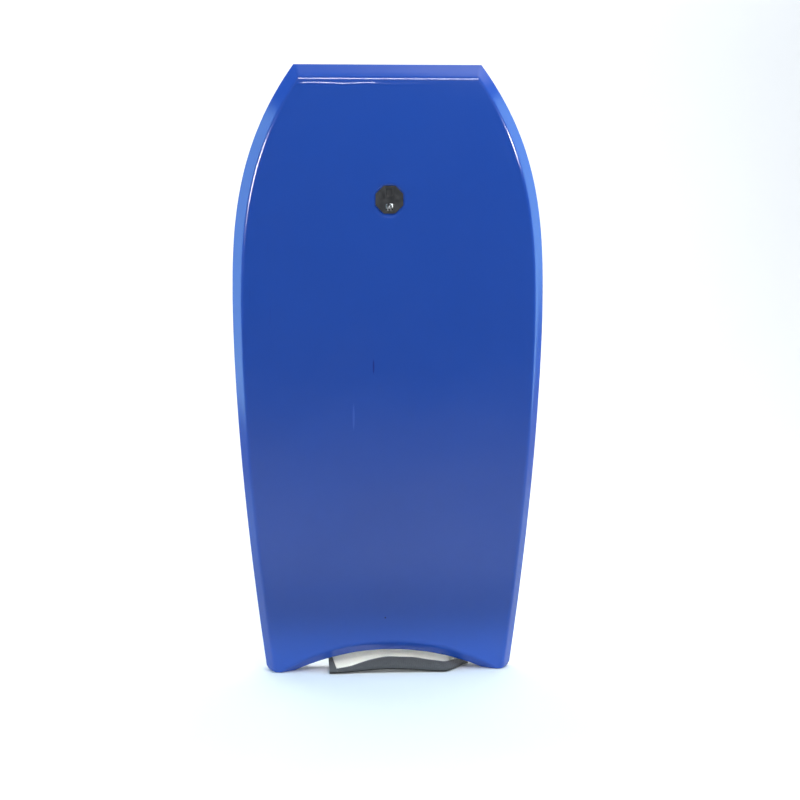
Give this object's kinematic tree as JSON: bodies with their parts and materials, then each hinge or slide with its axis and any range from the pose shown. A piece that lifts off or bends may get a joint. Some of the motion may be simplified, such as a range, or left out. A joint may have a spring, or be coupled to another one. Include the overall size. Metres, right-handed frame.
{
  "type": "bodyboard",
  "caption": "Foam-core bodyboard with a slick bottom, chamfered rails, a crescent tail, a through leash plug and a swivelling wrist leash.",
  "frame": {"origin": "middle of the base that the board stands on: half its width, half its depth, at the height of the tail tips' feet", "axes": "+Z from the tail to the nose, +X across the board to the right seen from the slick side, +Y from the slick to the deck"},
  "size_m": [0.53, 0.168, 1.04],
  "materials": {
    "core_foam": "beaded foam",
    "slick_plastic": "glossy",
    "deck_foam": "closed-cell foam skin",
    "rail_foam": "closed-cell foam skin",
    "plug_plastic": "moulded",
    "string_nylon": "braided",
    "swivel_metal": "polished",
    "cord_rubber": "smooth",
    "webbing": "woven",
    "cuff_neoprene": "knit-faced neoprene",
    "cuff_lining_cloth": "brushed"
  },
  "bodies": {
    "board": {"foam_core": "core_foam", "slick_skin": "slick_plastic", "deck_skin": "deck_foam", "left_rail": "rail_foam", "right_rail": "rail_foam", "nose_strip": "rail_foam", "tail_strip": "rail_foam", "plug_base": "plug_plastic", "plug_cap": "plug_plastic", "leash_string": "string_nylon", "string_knot": "string_nylon", "upper_swivel_eye": "swivel_metal", "upper_cord_end": "cord_rubber", "leash_cord": "cord_rubber", "lower_cord_end": "cord_rubber", "lower_swivel_eye": "swivel_metal", "cuff_tab": "webbing", "cuff_shell": "cuff_neoprene", "cuff_lining": "cuff_lining_cloth", "cuff_binding": "webbing", "cuff_end_binding": "webbing", "cuff_hook_patch": "webbing", "cuff_loop_patch": "webbing"},
    "upper_barrel": {"upper_swivel_barrel": "swivel_metal"},
    "lower_barrel": {"lower_swivel_barrel": "swivel_metal"}
  },
  "joints": [
    {"name": "upper_swivel_spin", "type": "hinge", "parent": "board", "child": "upper_barrel", "pos_m": [0, 0.028, 0.7338], "axis": [0, 0, 1], "continuous": true},
    {"name": "lower_swivel_spin", "type": "hinge", "parent": "board", "child": "lower_barrel", "pos_m": [0.0078, 0.046, 0.008], "axis": [1, 0, 0], "continuous": true}
  ]
}
